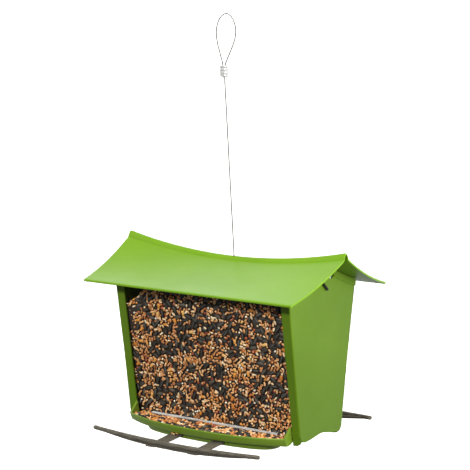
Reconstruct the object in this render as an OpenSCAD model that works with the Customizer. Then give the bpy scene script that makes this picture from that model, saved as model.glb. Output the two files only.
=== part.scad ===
// Hanging hopper feeder for wild birds: a moulded hopper with two clear windows, a feeding
// tray and a perch on each side, and a saddle roof that slides up the hanging cable for filling.
// Everything is laid out about the hopper's own middle with z = 0 at the eaves, and
// from_hook() then moves it so that the origin is where the hook carries the cable's loop.
// +X runs along the ridge, +Y to the back and +Z up.

/* [Roof] */
// Length of the two eaves
eave_length = 330; // [326:1:338]
// Length of the ridge, which overhangs the eaves at both ends
ridge_length = 349; // [344:1:356]
// Depth of the roof from eave to eave
roof_depth = 217; // [212:1:224]
// Height of the ridge above the eaves at its middle
ridge_mid_height = 35; // [33:0.5:38]
// Height of the ridge above the eaves at its ends
ridge_end_height = 54.5; // [50:0.5:58]
// Thickness of the roof, straight down
roof_wall = 2.4; // [2:0.1:3]
// How hollow the slopes are, from 0 for flat to 1
roof_curl = 0.38; // [0.2:0.02:0.5]

/* [Hopper] */
// Width over the two end walls
hopper_width = 277; // [272:1:282]
// Depth of the hopper at the level of the eaves
hopper_depth = 151; // [148:1:154]
// How far the front and the back lean inwards for each millimetre down
lean_in = 0.16; // [0.14:0.01:0.18]
// How far the end walls reach below the eaves
hopper_drop = 186.5; // [185:0.5:189]
// Thickness of the moulded walls
wall = 2.2; // [2:0.1:2.4]
// Width of the flanges that frame the windows
flange_width = 12.5; // [11:0.5:13]
// Thickness of the clear windows
window_wall = 2; // [1.6:0.1:2.2]

/* [Tray] */
// Length of the feeding trays between the end walls
tray_length = 250; // [246:1:251]
// Level of the trays' lips below the eaves
lip_drop = 178.5; // [177:0.5:180]
// How far the lips reach out at the trays' ends
lip_reach = 64; // [62:0.5:66]
// How much further the lips reach at the middle
lip_bow = 27; // [24:1:29]

/* [Perches] */
// Length of each perch
perch_length = 265; // [250:1:270]
// How far the perches' tips stand out from the hopper's middle
perch_reach = 128; // [125:1:131]
// How much further the perches stand out at their middle
perch_bow = 9; // [6:0.5:11]
// Distance between the two straps of a perch
strap_spacing = 67; // [60:1:72]
// Width of the straps
strap_width = 18.5; // [16:0.5:20]

/* [Hanger] */
// Diameter of the steel cable
cable_d = 1.4; // [1.2:0.1:1.6]
// Diameter of the steel rod that ties the end walls together and carries the weight
rod_d = 3.2; // [3:0.1:3.4]
// Width of the upper ferrule, across the cable's two strands
ferrule_w = 12; // [11:0.5:13]
// Height of the upper ferrule
ferrule_h = 13.8; // [12:0.2:14]

/* [Hidden] */
$fn = 48;

roof_half = roof_depth / 2;
ridge_half = ridge_length / 2;
eave_top = 2.2;                 // the roof's upper surface at the eaves
eave_bottom = -0.6;             // the lower edge of the eaves
band_half = 5;                  // half the width of the raised band along the ridge
band_mid = 5.5;                 // height of the band at its middle
band_end = 8.5;                 // and at its ends
hopper_half = hopper_width / 2;
panel_in = hopper_half - wall;  // inner face of an end wall's panel
flange_in = hopper_half - flange_width;
rim_proud = 0.8;                // the gable's raised rim
rim_drop = 9;                   // how far the rim reaches down
gap = 0.4;                      // clearance between the roof and what it rests on
foot_r = 11;                    // the end walls' rounded lower corners
toe_drop = 4.5;                 // how far a flange's toe reaches below its end wall
groove_at = wall + 0.3;         // outer face of a window, in from the flange's face
groove_in = groove_at + window_wall + 0.4;
window_top = 3.5;
window_bottom = -180.5;
floor_top = -184;
floor_bottom = floor_top - wall;
tray_bottom = -189.5;           // lower edge of the trays' front walls
tray_half = tray_length / 2;
tray_draft = 5;                 // how far the trays' front walls lean in towards the bottom
ramp_half = 30;                 // the ramp that sheds seed to both sides
ramp_top = -150;
ramp_bottom = ramp_top - 3.4;   // underside of the ramp's peak
boss_bottom = -198;             // the housings under the trays that hold the perches
boss_half = 106;
boss_back = 40;
strap_top = -191.2;             // where the perches' straps leave their pockets
socket_back = 60;               // the pockets for the perches' straps
socket_front = 77.5;
post_x = hopper_half - 6;       // screw posts of the end walls
post_y = 34;
post_d = 8;
screw_d = 3.5;
screw_head_d = 6.6;
rod_z = 11.5;                   // height of the hanger rod above the eaves
rod_tail = 10.5;                 // the rod's bent ends
rod_tail_turn = 46;             // how far the ends turn from straight down, to the back
rod_bend = 1.8;
seed_top = -4;
ferrule_t = 5.2;
ferrule_at = [-16.2, 0, 267.5]; // middle of the upper ferrule's lower end
crimp_at = [1.2, 0, 18];        // and of the lower ferrule's
crimp_size = [5.4, 3.4, 8];
ridge_at = [0, 0, 35];          // where the cable comes out of the roof
cable_top = [-15.2, 0, 267.5];  // where it goes into the upper ferrule
loop_at = [-11.4, 0, 348.6];    // the top of the hanging loop
cable_lean = atan((cable_top[0] - ridge_at[0]) / (cable_top[2] - ridge_at[2]));
hook_at = loop_at - [0, 0, cable_d / 2];  // where a hook bears on the loop from inside

// The cable's route, as [x, y, z] from the hopper's middle at the level of the eaves. It starts at
// the short end above the lower ferrule, goes round the rod and up through both ferrules, round
// the hanging loop and down to its other end under the upper ferrule.
cable_route = [[0.9, -0.9, 29], [1, -0.9, 26], [1.2, -1, 18], [1.4, -2.2, 15], [1.5, -2.7, 11.5],
    [1.5, -1.9, 9.6], [1.5, 0, 8.8], [1.5, 1.9, 9.6], [1.5, 2.7, 11.5], [1.4, 2.2, 15], [1.2, 1, 18],
    [0.6, 0.6, 26], ridge_at, [-2, 0, 65.5], [-4.5, 0, 104], [-7.6, 0, 151], [-10.6, 0, 197],
    [-13.4, 0, 240], cable_top, [-15.2, 0, 274], [-14.6, 0, 281.5], [-12.6, 0, 287],
    [-8, 0, 296], [-2.5, 0, 307], [1.4, 0, 317], [2.6, 0, 326], [1.2, 0, 335], [-3.4, 0, 343.6],
    loop_at, [-19.6, 0, 345.6], [-25.4, 0, 338], [-28.2, 0, 328], [-28, 0, 318],
    [-25.6, 0, 307], [-22, 0, 296], [-19, 0, 287], [-17.9, 0, 281.5], [-17.6, 0, 274],
    [-17.5, 0, 266]];

// ---- general shapes -------------------------------------------------------------------------

// A closed shell between an upper and a lower grid of points. Rows run along X and each row's
// points from front to back.
module shell(upper, lower) {
    rows = len(upper);
    cols = len(upper[0]);
    low = rows * cols;
    r1 = rows - 1;
    c1 = cols - 1;
    quads = concat(
        [for (j = [0:r1 - 1], i = [0:c1 - 1])
            [j * cols + i, j * cols + i + 1, (j + 1) * cols + i + 1, (j + 1) * cols + i]],
        [for (j = [0:r1 - 1], i = [0:c1 - 1])
            [low + j * cols + i, low + (j + 1) * cols + i,
             low + (j + 1) * cols + i + 1, low + j * cols + i + 1]],
        [for (j = [0:r1 - 1])
            [j * cols, (j + 1) * cols, low + (j + 1) * cols, low + j * cols]],
        [for (j = [0:r1 - 1])
            [j * cols + c1, low + j * cols + c1,
             low + (j + 1) * cols + c1, (j + 1) * cols + c1]],
        [for (i = [0:c1 - 1]) [i + 1, i, low + i, low + i + 1]],
        [for (i = [0:c1 - 1])
            [r1 * cols + i, r1 * cols + i + 1, low + r1 * cols + i + 1, low + r1 * cols + i]]);
    polyhedron(concat([for (row = upper) each row], [for (row = lower) each row]),
        [for (q = quads) each [[q[0], q[1], q[2]], [q[0], q[2], q[3]]]], convexity = 8);
}

function unit(v) = v / norm(v);

// The directions along a path, one for each of its points.
function tangents(path) = [for (k = [0:len(path) - 1])
    unit(path[min(k + 1, len(path) - 1)] - path[max(k - 1, 0)])];

// One direction across the path for each point, turning as little as it can.
function across(along, first) = [for (k = 0, n = unit(first - (first * along[0]) * along[0]);
    k < len(along);
    k = k + 1,
    n = k < len(along) ? unit(n - (n * along[k]) * along[k]) : n) n];

// A closed tube along a path, with a radius for each point.
module tube(path, radii, sides, first = [0, 1, 0]) {
    along = tangents(path);
    side = across(along, first);
    last = len(path) - 1;
    points = [for (k = [0:last], s = [0:sides - 1])
        let (a = 360 * s / sides)
        path[k] + radii[k] * (cos(a) * side[k] + sin(a) * cross(along[k], side[k]))];
    polyhedron(points, concat(
        [[for (s = [0:sides - 1]) s]],
        [for (k = [0:last - 1], s = [0:sides - 1])
            let (a = k * sides, b = (k + 1) * sides, t = (s + 1) % sides)
            each [[a + s, b + s, b + t], [a + s, b + t, a + t]]],
        [[for (s = [sides - 1:-1:0]) last * sides + s]]), convexity = 6);
}

// A smooth curve through the points of a route, with steps pieces between each two.
function through(p, steps) = concat([for (k = [0:len(p) - 2], s = [0:steps - 1])
    let (t = s / steps, a = p[max(k - 1, 0)], b = p[k], c = p[k + 1], d = p[min(k + 2, len(p) - 1)])
    ((2 * b) + (c - a) * t + (2 * a - 5 * b + 4 * c - d) * t * t
        + (3 * b - a - 3 * c + d) * t * t * t) / 2], [p[len(p) - 1]]);

// A solid between a lower and an upper outline with the same number of points.
module loft(low, high) {
    n = len(low);
    polyhedron(concat(low, high), concat(
        [[for (k = [0:n - 1]) k]],
        [for (k = [0:n - 1])
            let (m = (k + 1) % n) each [[k, n + k, n + m], [k, n + m, m]]],
        [[for (k = [n - 1:-1:0]) n + k]]), convexity = 6);
}

// Extrudes a YZ outline along X from x0 to x1.
module along_x(x0, x1) {
    translate([x0, 0, 0]) rotate([90, 0, 90]) linear_extrude(x1 - x0) children();
}

module front_and_back() {
    children();
    mirror([0, 1, 0]) children();
}

module both_ends() {
    children();
    mirror([1, 0, 0]) children();
}

// Moves everything so that the hook's place is the origin.
module from_hook() {
    translate(-hook_at) children();
}

// ---- the roof's surface ---------------------------------------------------------------------

function ridge_top(x) = ridge_mid_height
    + (ridge_end_height - ridge_mid_height) * pow(x / ridge_half, 2);
function band_rise(x) = band_mid + (band_end - band_mid) * pow(x / ridge_half, 2);

// Height of the slopes' upper surface.
function roof_z(x, y) =
    let (t = (roof_half - abs(y)) / (roof_half - band_half),
         rise = ridge_top(x) - band_rise(x) - eave_top)
    eave_top + rise * ((1 - roof_curl) * t + roof_curl * t * t);

// Half the roof's length at a distance from the ridge.
function roof_reach(y) = ridge_half - (ridge_half - eave_length / 2) * abs(y) / roof_half;

// Depth of the hopper's front face from its middle at a height.
function face_y(z) = hopper_depth / 2 + lean_in * z;

// ---- sub-parts ------------------------------------------------------------------------------

slope_steps = 12;
// One side of the roof's section, from the eave to the ridge: [y, slope height share,
// band height share, drop], for the upper and for the lower surface.
slope_ys = [for (i = [0:slope_steps])
    roof_half - 1 - i * (roof_half - 1 - band_half) / slope_steps];
upper_side = concat([[roof_half, 0, eave_bottom], [roof_half, 0, eave_top - 0.8]],
    [for (y = slope_ys) [y, 0, undef]],
    [[band_half - 0.3, 0.75, undef], [band_half - 1.5, 0.96, undef], [0, 1, undef]]);
lower_side = concat([[roof_half - wall, 0, eave_bottom], [roof_half - wall - 0.4, 0, -0.4]],
    [for (y = slope_ys) [y > roof_half - 3 ? roof_half - 3.4 : y, 0, undef]],
    [[band_half - 2.2, 0.5, undef], [band_half - 3, 0.94, undef], [0, 0.98, undef]]);

function section(x_share, side, down) = [for (p = side)
    let (x = x_share * roof_reach(p[0]))
    [x, p[0], p[2] == undef ? roof_z(x, max(p[0], band_half)) + p[1] * band_rise(x) - down : p[2]]];

function mirrored_row(row) = concat(
    [for (p = row) [p[0], -p[1], p[2]]],
    [for (k = [len(row) - 2:-1:0]) row[k]]);

module roof_shell() {
    stations = 26;
    shares = [for (j = [0:stations]) -1 + 2 * j / stations];
    shell([for (s = shares) mirrored_row(section(s, upper_side, 0))],
          [for (s = shares) mirrored_row(section(s, lower_side, roof_wall))]);
}

// A rib under a slope that keeps the roof from sliding along the hopper.
module roof_rib() {
    x0 = panel_in - 3.4;
    ys = [30, 36, 42, 48, 54];
    rib_deep = 8;
    along_x(x0, x0 + 2)
        polygon(concat([for (y = ys) [y, roof_z(x0, y) - roof_wall / 2]],
            [for (k = [len(ys) - 1:-1:0]) [ys[k], roof_z(x0, ys[k]) - roof_wall - rib_deep]]));
}

module roof() {
    color("yellowgreen")
    difference() {
        union() {
            roof_shell();
            front_and_back() both_ends() roof_rib();
        }
        translate(ridge_at) rotate([0, cable_lean, 0])
            cylinder(h = 24, d = cable_d + 2.2, center = true);
    }
}

gable_x = hopper_half - wall / 2;
function gable_z(y) = roof_z(gable_x, max(abs(y), band_half)) - roof_wall - gap;

gable_half = face_y(7.5);
gable_ys = [for (k = [0:10]) band_half + (gable_half - band_half) * k / 10];
foot_z = -hopper_drop + foot_r;
foot_y = face_y(foot_z) - foot_r * sqrt(1 + lean_in * lean_in);

// Half of an end wall's outline, from the gable's peak down to the arch at the bottom.
wall_outline = concat([for (y = gable_ys) [y, gable_z(y)]],
    [for (a = [-atan(lean_in):-9:-89]) [foot_y + foot_r * cos(a), foot_z + foot_r * sin(a)]],
    [[foot_y, -hopper_drop], [27, -hopper_drop + 0.7], [12, -hopper_drop + 3.4],
     [4, -hopper_drop + 4.8], [0, -hopper_drop + 5]]);

// A whole outline from its right half.
function both_sides(half) = concat(half,
    [for (k = [len(half) - 1:-1:0]) if (half[k][0] > 0) [-half[k][0], half[k][1]]]);

// A strip that follows the front face, between two depths behind it.
module face_strip(z0, z1, from, to) {
    polygon([[from - face_y(z0), z0], [to - face_y(z0), z0],
             [to - face_y(z1), z1], [from - face_y(z1), z1]]);
}

// The right-hand end wall: a panel with a flange along its front and back, which ends in a toe
// beside the tray.
module end_wall() {
    difference() {
        union() {
            along_x(panel_in, hopper_half) polygon(both_sides(wall_outline));
            along_x(flange_in, hopper_half) intersection() {
                polygon(both_sides(wall_outline));
                front_and_back_2d() face_strip(-hopper_drop, gable_z(gable_half), 0, wall);
            }
            toes();
            along_x(panel_in - 6, panel_in + 0.1)
                front_and_back_2d() face_strip(foot_z, window_top, groove_in, groove_in + 1.8);
            along_x(hopper_half - 0.1, hopper_half + rim_proud) gable_rim();
            front_and_back() translate([post_x, post_y, floor_top]) cylinder(h = 14, d = post_d);
        }
        translate([panel_in - 5, 0, rod_z]) rotate([0, 90, 0]) cylinder(h = 10, d = rod_d + 0.4);
        front_and_back() translate([panel_in - 5, 20, 0]) vent();
        front_and_back() translate([post_x, post_y, floor_top - 1]) cylinder(h = 12, d = screw_d - 0.1);
    }
}

// The flanges' lower ends, which round off towards the outside of the hopper.
module toes() {
    toe_bottom = -hopper_drop - toe_drop;
    toe_half = hopper_half - 0.3;
    turn = toe_half - flange_in - 3;
    intersection() {
        along_x(flange_in - 0.5, toe_half)
            front_and_back_2d() face_strip(toe_bottom - 1, foot_z + 4, 0.3, wall + 0.4);
        translate([0, 100, 0]) rotate([90, 0, 0]) linear_extrude(200)
            polygon(concat([[flange_in - 1, foot_z + 5], [flange_in - 1, toe_bottom]],
                [for (a = [-90:15:0]) [toe_half - turn + turn * cos(a),
                                       toe_bottom + turn + turn * sin(a)]],
                [[toe_half, foot_z + 5]]));
    }
}

module front_and_back_2d() {
    children();
    mirror([1, 0]) children();
}

module gable_rim() {
    ys = [for (k = [1:10]) gable_ys[k]];
    front_and_back_2d()
        polygon(concat([for (y = ys) [y, gable_z(y)]],
            [for (k = [9:-1:0]) [ys[k], gable_z(ys[k]) - rim_drop]]));
}

// A round vent through an end wall, under the roof.
module vent() {
    translate([0, 0, 21.7]) rotate([0, 90, 0]) cylinder(h = 10, d = 12);
}

module left_end_wall() {
    color("olivedrab") mirror([1, 0, 0]) end_wall();
}

module right_end_wall() {
    color("olivedrab") end_wall();
}

// Distance of the trays' lips and of their lower edges from the middle.
function lip_y(x) = lip_reach + lip_bow * (1 - pow(abs(x) / tray_half, 2.6));
function tray_y(x) = lip_y(x) - tray_draft;

// The floor beyond the trays' ends, as deep as the end walls' feet: the ramp and a flat strip at
// each side of it.
module floor_end() {
    half = foot_y + 6.5;
    xs = [tray_half, panel_in - 0.4];
    shell([for (x = xs) mirrored_row([
              [x, half, floor_top], [x, ramp_half, floor_top], [x, 0, ramp_top]])],
          [for (x = xs) mirrored_row([
              [x, half, floor_bottom], [x, ramp_half + 1, floor_bottom], [x, 0, ramp_bottom]])]);
}

module tray_shell() {
    stations = 24;
    xs = [for (j = [0:stations]) -tray_half + tray_length * j / stations];
    shell([for (x = xs) let (y = tray_y(x)) mirrored_row([
              [x, lip_y(x) - wall, -lip_drop], [x, y - wall, floor_top], [x, y - 2 * wall, floor_top],
              [x, y - 3 * wall, floor_top], [x, ramp_half, floor_top], [x, 0, ramp_top]])],
          [for (x = xs) let (y = tray_y(x)) mirrored_row([
              [x, lip_y(x), -lip_drop], [x, y, tray_bottom], [x, y - wall, tray_bottom],
              [x, y - wall, floor_bottom], [x, ramp_half + 1, floor_bottom],
              [x, 0, ramp_bottom]])]);
}

// A tray's end: a cheek that rises from the lip to the flange.
module cheek() {
    along_x(tray_half - wall, tray_half + 0.6)
        polygon([[-lip_reach, -lip_drop], [wall - lip_reach, -lip_drop],
                 [-face_y(-166) - 1, -166], [-face_y(-166) - 0.4, -168],
                 [-face_y(-185) - 0.4, tray_bottom + 1], [10 - lip_reach, tray_bottom],
                 [tray_draft - lip_reach, tray_bottom]]);
}

// The outline of the housing under a tray, in from the tray's front by a margin.
function boss_outline(margin, z) = let (half = boss_half - margin) concat(
    [for (k = [-12:12]) let (x = half * sin(90 * k / 12), s = k / 12)
        [x, -(boss_back + (tray_y(0) - 6 - margin - boss_back) * pow(cos(90 * s), 0.55)), z]],
    [[half, -boss_back + (margin > 4 ? 0 : 2), z], [-half, -boss_back + (margin > 4 ? 0 : 2), z]]);

module boss() {
    difference() {
        loft(boss_outline(5, boss_bottom), boss_outline(0, floor_bottom + 0.2));
        loft(boss_outline(5 + wall, boss_bottom - 1), boss_outline(wall, floor_bottom - 0.1));
    }
}

function strap_xs() = [-strap_spacing / 2, strap_spacing / 2];

// The pocket that a perch's strap plugs into.
module socket(x) {
    translate([x - strap_width / 2 - 2.4, -socket_front, strap_top - 5.2])
        cube([strap_width + 4.8, socket_front - socket_back, floor_bottom - strap_top + 5.3]);
}

module socket_space(x) {
    translate([x - strap_width / 2 - 0.2, -socket_front - 10, strap_top - 3.1])
        cube([strap_width + 0.4, socket_front + 8 - socket_back, 3.3]);
}

module drain_holes() {
    for (x = [-80:40:80]) translate([x, -56, floor_bottom - 1]) cylinder(h = 5, d = 3.4);
}

module seed_tray_base() {
    color("forestgreen")
    difference() {
        union() {
            tray_shell();
            both_ends() floor_end();
            both_ends() front_and_back() cheek();
            front_and_back() {
                boss();
                for (x = strap_xs()) socket(x);
            }
        }
        front_and_back() {
            for (x = strap_xs()) socket_space(x);
            drain_holes();
        }
        both_ends() front_and_back() translate([post_x, post_y, floor_bottom - 1])
            cylinder(h = 5, d = screw_d + 0.6);
    }
}

// A clear panel that stands in the end walls' grooves, with a thick lower lip.
module window() {
    half = panel_in - 0.5;
    along_x(-half, half)
        face_strip(window_bottom, window_top, groove_at, groove_at + window_wall);
    along_x(-boss_half - 3, boss_half + 3)
        face_strip(window_bottom, window_bottom + 2.2, 0.3, groove_at + window_wall);
}

module front_window() {
    color("lightcyan", 0.4) window();
}

module rear_window() {
    color("lightcyan", 0.4) mirror([0, 1, 0]) window();
}

// A perch's upper rod and lower strand, s running from -1 to 1 along it.
perch_half = perch_length / 2;
function perch_rod(s) = [s * perch_half, -perch_reach - perch_bow * (1 - s * s),
    -187.7 - 2.3 * (1 - s * s)];
function perch_strand(s) = perch_rod(s) + (1 - s * s) * [0, 7, -5.7];

module perch() {
    steps = 24;
    tip = 0.006;
    rod = concat([-1], [for (k = [0:steps]) (-1 + 2 * k / steps) * (1 - 2 * tip)], [1]);
    tube([for (s = rod) perch_rod(s)],
        [for (s = rod) abs(s) == 1 ? 1.8 : 2.7 + 0.45 * (1 - s * s)], 12, [0, 0, 1]);
    strand = [for (k = [0:steps]) (-1 + 2 * k / steps) * 0.86];
    tube([for (s = strand) perch_strand(s)], [for (s = strand) 2.5 - 0.5 * pow(s, 4)], 10,
        [0, 0, 1]);
    for (side = [-1, 1]) web(side);
    for (x = strap_xs()) strap(x);
}

// The web that joins rod and strand near a tip.
module web(side) {
    ss = [for (k = [0:4]) side * (0.66 + 0.24 * k / 4)];
    row = side > 0 ? ss : [for (k = [4:-1:0]) ss[k]];
    shell([for (s = row) [perch_rod(s) + [0, 0.6, 0.8], perch_strand(s) + [0, 0.6, 0.8]]],
          [for (s = row) [perch_rod(s) - [0, 0.6, 0.8], perch_strand(s) - [0, 0.6, 0.8]]]);
}

// A flat strap that carries the perch, from its pocket out under the rod, with a step up to it.
module strap(x) {
    along_x(x - strap_width / 2, x + strap_width / 2)
        polygon([[-62.5, strap_top], [-62.5, strap_top - 2.9], [-79, strap_top - 2.9],
                 [-128, strap_top - 7.8], [-138, strap_top - 8.2], [-139.8, strap_top - 7.4],
                 [-139.3, -191.6], [-133.6, -191.6], [-131.5, strap_top - 4.9],
                 [-128, strap_top - 4.9], [-80, strap_top]]);
}

module front_perch() {
    color("dimgray") perch();
}

module rear_perch() {
    color("dimgray") mirror([0, 1, 0]) perch();
}

// Half of the rod through both end walls, with its bent end.
module half_rod() {
    reach = hopper_half + 0.4;
    translate([-0.1, 0, rod_z]) rotate([0, 90, 0]) cylinder(h = reach + 0.1, d = rod_d);
    translate([reach, 0, rod_z]) rotate([rod_tail_turn, 0, 0]) {
        translate([0, 0, -rod_bend]) rotate([90, 0, 0])
            rotate_extrude(angle = 90) translate([rod_bend, 0]) circle(d = rod_d);
        translate([rod_bend, 0, -rod_bend - rod_tail]) cylinder(h = rod_tail, d = rod_d);
    }
}

module hanger_rod() {
    color("silver") both_ends() half_rod();
}

module hanger_cable() {
    path = through(cable_route, 2);
    color("gray") tube(path, [for (p = path) cable_d / 2], 8);
}

// A pressed sleeve with rounded sides, standing on its lower end.
module sleeve(w, t, h) {
    linear_extrude(h) union() {
        square([w - t, t], center = true);
        for (side = [-1, 1]) translate([side * (w - t) / 2, 0]) circle(d = t);
    }
}

module upper_ferrule() {
    color("gainsboro") translate(ferrule_at) sleeve(ferrule_w, ferrule_t, ferrule_h);
}

module lower_ferrule() {
    color("gainsboro") translate(crimp_at) rotate([0, 0, 90])
        sleeve(crimp_size[0], crimp_size[1], crimp_size[2]);
}

module base_screws() {
    color("silver") both_ends() front_and_back() translate([post_x, post_y, 0]) {
        translate([0, 0, floor_bottom - 1.4]) cylinder(h = 1.4, d = screw_head_d);
        translate([0, 0, floor_bottom - 0.1]) cylinder(h = 13, d = screw_d - 0.3);
    }
}

// Loose seed between the windows, down to the trays' level.
module hopper_seed() {
    fill_bottom = -179.5;
    slump_z = -40;              // the seed has slipped this low at the left end wall
    slump_angle = 38;
    ramp_at = ramp_half * (ramp_top - fill_bottom) / (ramp_top - floor_top);
    module fill(depth) {
        polygon([[face_y(seed_top) - depth, seed_top], [face_y(fill_bottom) - depth, fill_bottom],
                 [ramp_at, fill_bottom], [0, ramp_top], [-ramp_at, fill_bottom],
                 [depth - face_y(fill_bottom), fill_bottom], [depth - face_y(seed_top), seed_top]]);
    }
    color("saddlebrown")
    difference() {
        union() {
            along_x(0.4 - panel_in + 6, panel_in - 6.4) fill(groove_in);
            along_x(1.5 - panel_in, panel_in - 1.5) fill(groove_in + 2.2);
        }
        both_ends() front_and_back() translate([post_x, post_y, floor_top])
            cylinder(h = 14.5, d = post_d + 0.6);
        translate([-panel_in, -80, slump_z]) rotate([0, -slump_angle, 0]) cube([70, 160, 50]);
    }
}

// Seed that has run out under a window into its tray.
module tray_seed() {
    half = tray_half - wall - 0.3;
    translate([0, 0, floor_top]) linear_extrude(3.2)
        polygon(concat([for (k = [-12:12]) let (x = half * k / 12) [x, wall + 0.4 - tray_y(x)]],
            [[half, -ramp_half - 0.5], [-half, -ramp_half - 0.5]]));
}

module front_tray_seed() {
    color("peru") tray_seed();
}

module rear_tray_seed() {
    color("peru") mirror([0, 1, 0]) tray_seed();
}

from_hook() roof();
from_hook() left_end_wall();
from_hook() right_end_wall();
from_hook() seed_tray_base();
from_hook() front_window();
from_hook() rear_window();
from_hook() front_perch();
from_hook() rear_perch();
from_hook() hanger_rod();
from_hook() hanger_cable();
from_hook() upper_ferrule();
from_hook() lower_ferrule();
from_hook() base_screws();
from_hook() hopper_seed();
from_hook() front_tray_seed();
from_hook() rear_tray_seed();
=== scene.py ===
"""A hanging hopper feeder for wild birds, with its seed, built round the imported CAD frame.

Shapes are worked out in millimetres about the middle of the hopper, with z = 0 at the eaves, as the
CAD source does, and place() carries them into the row frame in metres. Each piece rides on its body.
"""

import math
from contextlib import contextmanager

import bmesh
import bpy
import numpy as np
from mathutils import Matrix, Vector


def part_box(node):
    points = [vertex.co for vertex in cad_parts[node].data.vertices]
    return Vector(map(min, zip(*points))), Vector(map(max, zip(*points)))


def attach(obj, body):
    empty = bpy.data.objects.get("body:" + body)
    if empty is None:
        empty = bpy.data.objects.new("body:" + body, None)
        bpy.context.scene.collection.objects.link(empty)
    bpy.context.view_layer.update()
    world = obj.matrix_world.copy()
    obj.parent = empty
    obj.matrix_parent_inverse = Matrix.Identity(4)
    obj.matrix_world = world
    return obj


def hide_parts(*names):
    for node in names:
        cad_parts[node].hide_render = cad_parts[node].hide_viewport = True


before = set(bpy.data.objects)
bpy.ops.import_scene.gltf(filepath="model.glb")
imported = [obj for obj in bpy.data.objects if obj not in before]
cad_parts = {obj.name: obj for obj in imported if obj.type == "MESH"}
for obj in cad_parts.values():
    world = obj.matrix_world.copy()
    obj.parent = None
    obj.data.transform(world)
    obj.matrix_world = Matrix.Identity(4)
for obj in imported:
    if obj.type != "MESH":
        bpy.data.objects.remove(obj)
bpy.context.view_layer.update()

# ---- the frame's places and the feeder's driving dimensions, in millimetres ----

WINDOW_BOTTOM = -180.5
roof_low, roof_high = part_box("roof")
window_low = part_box("front_window")[0]
MIDDLE = Vector(((roof_low.x + roof_high.x) / 2, 0.0, window_low.z - WINDOW_BOTTOM / 1000))

RIDGE_HALF = 500 * (roof_high.x - roof_low.x)
EAVE_HALF = 165.0
ROOF_HALF = 500 * (roof_high.y - roof_low.y)
RIDGE_MID, RIDGE_END = 35.0, 54.5
BAND_HALF, BAND_MID, BAND_END = 5.0, 5.5, 8.5
EAVE_TOP, EAVE_BOTTOM = 2.2, -0.6
ROOF_CURL = 0.38
ROOF_WALL = 2.4
HOPPER_HALF = 138.5
WALL = 2.2
PANEL_IN = HOPPER_HALF - WALL
FACE_AT_EAVES, LEAN_IN = 75.5, 0.16
LIP_Z, FLOOR_TOP, FLOOR_BOTTOM, TRAY_BOTTOM = -178.5, -184.0, -186.2, -189.5
TRAY_HALF, LIP_REACH, LIP_BOW, TRAY_DRAFT = 125.0, 64.0, 27.0, 5.0
RAMP_HALF, RAMP_TOP = 30.0, -150.0
BOSS_HALF, BOSS_BACK, BOSS_BOTTOM = 106.0, 40.0, -198.0
LIP_HALF, LIP_TALL = 102.0, 2.6           # the windows' thick lower lip
FOOT_HALF, CHEEK_TOP = 42.3, -166.0
SOCKET_BACK, SOCKET_FRONT, STRAP_TOP = 60.0, 77.5, -191.2
STRAP_X, STRAP_WIDTH = 33.5, 18.5
PERCH_HALF, PERCH_REACH, PERCH_BOW = 132.5, 128.0, 9.0
PERCH_Z, PERCH_SAG = -187.7, 2.3
STRAND_BACK, STRAND_DOWN = 7.0, 6.1      # how far the strand is from the rod in the middle
SCREW_X, SCREW_Y = 132.5, 34.0
SEED_TOP = -4.0
SEED_FACE = 4.9          # how far behind the hopper's face the seed starts
SLUMP_Z, SLUMP_SLOPE = -40.0, math.tan(math.radians(38))    # at the left end wall
SLUMP_END = (SEED_TOP - SLUMP_Z) / SLUMP_SLOPE - PANEL_IN
ROD_Z, ROD_D = 11.5, 3.2
CABLE_D, CABLE_LEAN = 1.4, 3.7           # the lean is in degrees, towards -X
ROOF_BORE = CABLE_D + 2.2
RANDOM_START = 7

# The cable's route, from its short end above the lower ferrule, round the rod, up through both
# ferrules, round the hanging loop and down to its end under the upper ferrule.
CABLE_ROUTE = [
    (0.9, -0.9, 29), (1, -0.9, 26), (1.2, -1, 18), (1.4, -2.2, 15), (1.5, -2.7, 11.5),
    (1.5, -1.9, 9.6), (1.5, 0, 8.8), (1.5, 1.9, 9.6), (1.5, 2.7, 11.5), (1.4, 2.2, 15),
    (1.2, 1, 18), (0.6, 0.6, 26), (0, 0, 35), (-2, 0, 65.5), (-4.5, 0, 104), (-7.6, 0, 151),
    (-10.6, 0, 197), (-13.4, 0, 240), (-15.2, 0, 267.5), (-15.2, 0, 274), (-14.6, 0, 281.5),
    (-12.6, 0, 287), (-8, 0, 296), (-2.5, 0, 307), (1.4, 0, 317), (2.6, 0, 326), (1.2, 0, 335),
    (-3.4, 0, 343.6), (-11.4, 0, 348.6), (-19.6, 0, 345.6), (-25.4, 0, 338), (-28.2, 0, 328),
    (-28, 0, 318), (-25.6, 0, 307), (-22, 0, 296), (-19, 0, 287), (-17.9, 0, 281.5),
    (-17.6, 0, 274), (-17.5, 0, 266),
]
FERRULE_AT, FERRULE_SIZE = (-16.2, 0, 267.5), (12.0, 5.2, 13.8)
CRIMP_AT, CRIMP_SIZE = (1.2, 0, 18.0), (3.4, 5.4, 8.0)


def face_y(z):
    """Depth of the hopper's front face from its middle at a height."""
    return FACE_AT_EAVES + LEAN_IN * z


def lip_y(x):
    return LIP_REACH + LIP_BOW * (1 - abs(x / TRAY_HALF) ** 2.6)


def tray_y(x):
    return lip_y(x) - TRAY_DRAFT


def place(points):
    """Points in hopper millimetres, as metres in the row frame."""
    return np.asarray(points, float).reshape(-1, 3) * 0.001 + np.array(MIDDLE)


# ---- meshes ----


def unit(rows):
    """Rows of vectors, each scaled to a length of 1."""
    return rows / np.linalg.norm(rows, axis=1)[:, None]


def in_scene(name, data):
    """A new object in the scene."""
    made = bpy.data.objects.new(name, data)
    bpy.context.scene.collection.objects.link(made)
    return made


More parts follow.
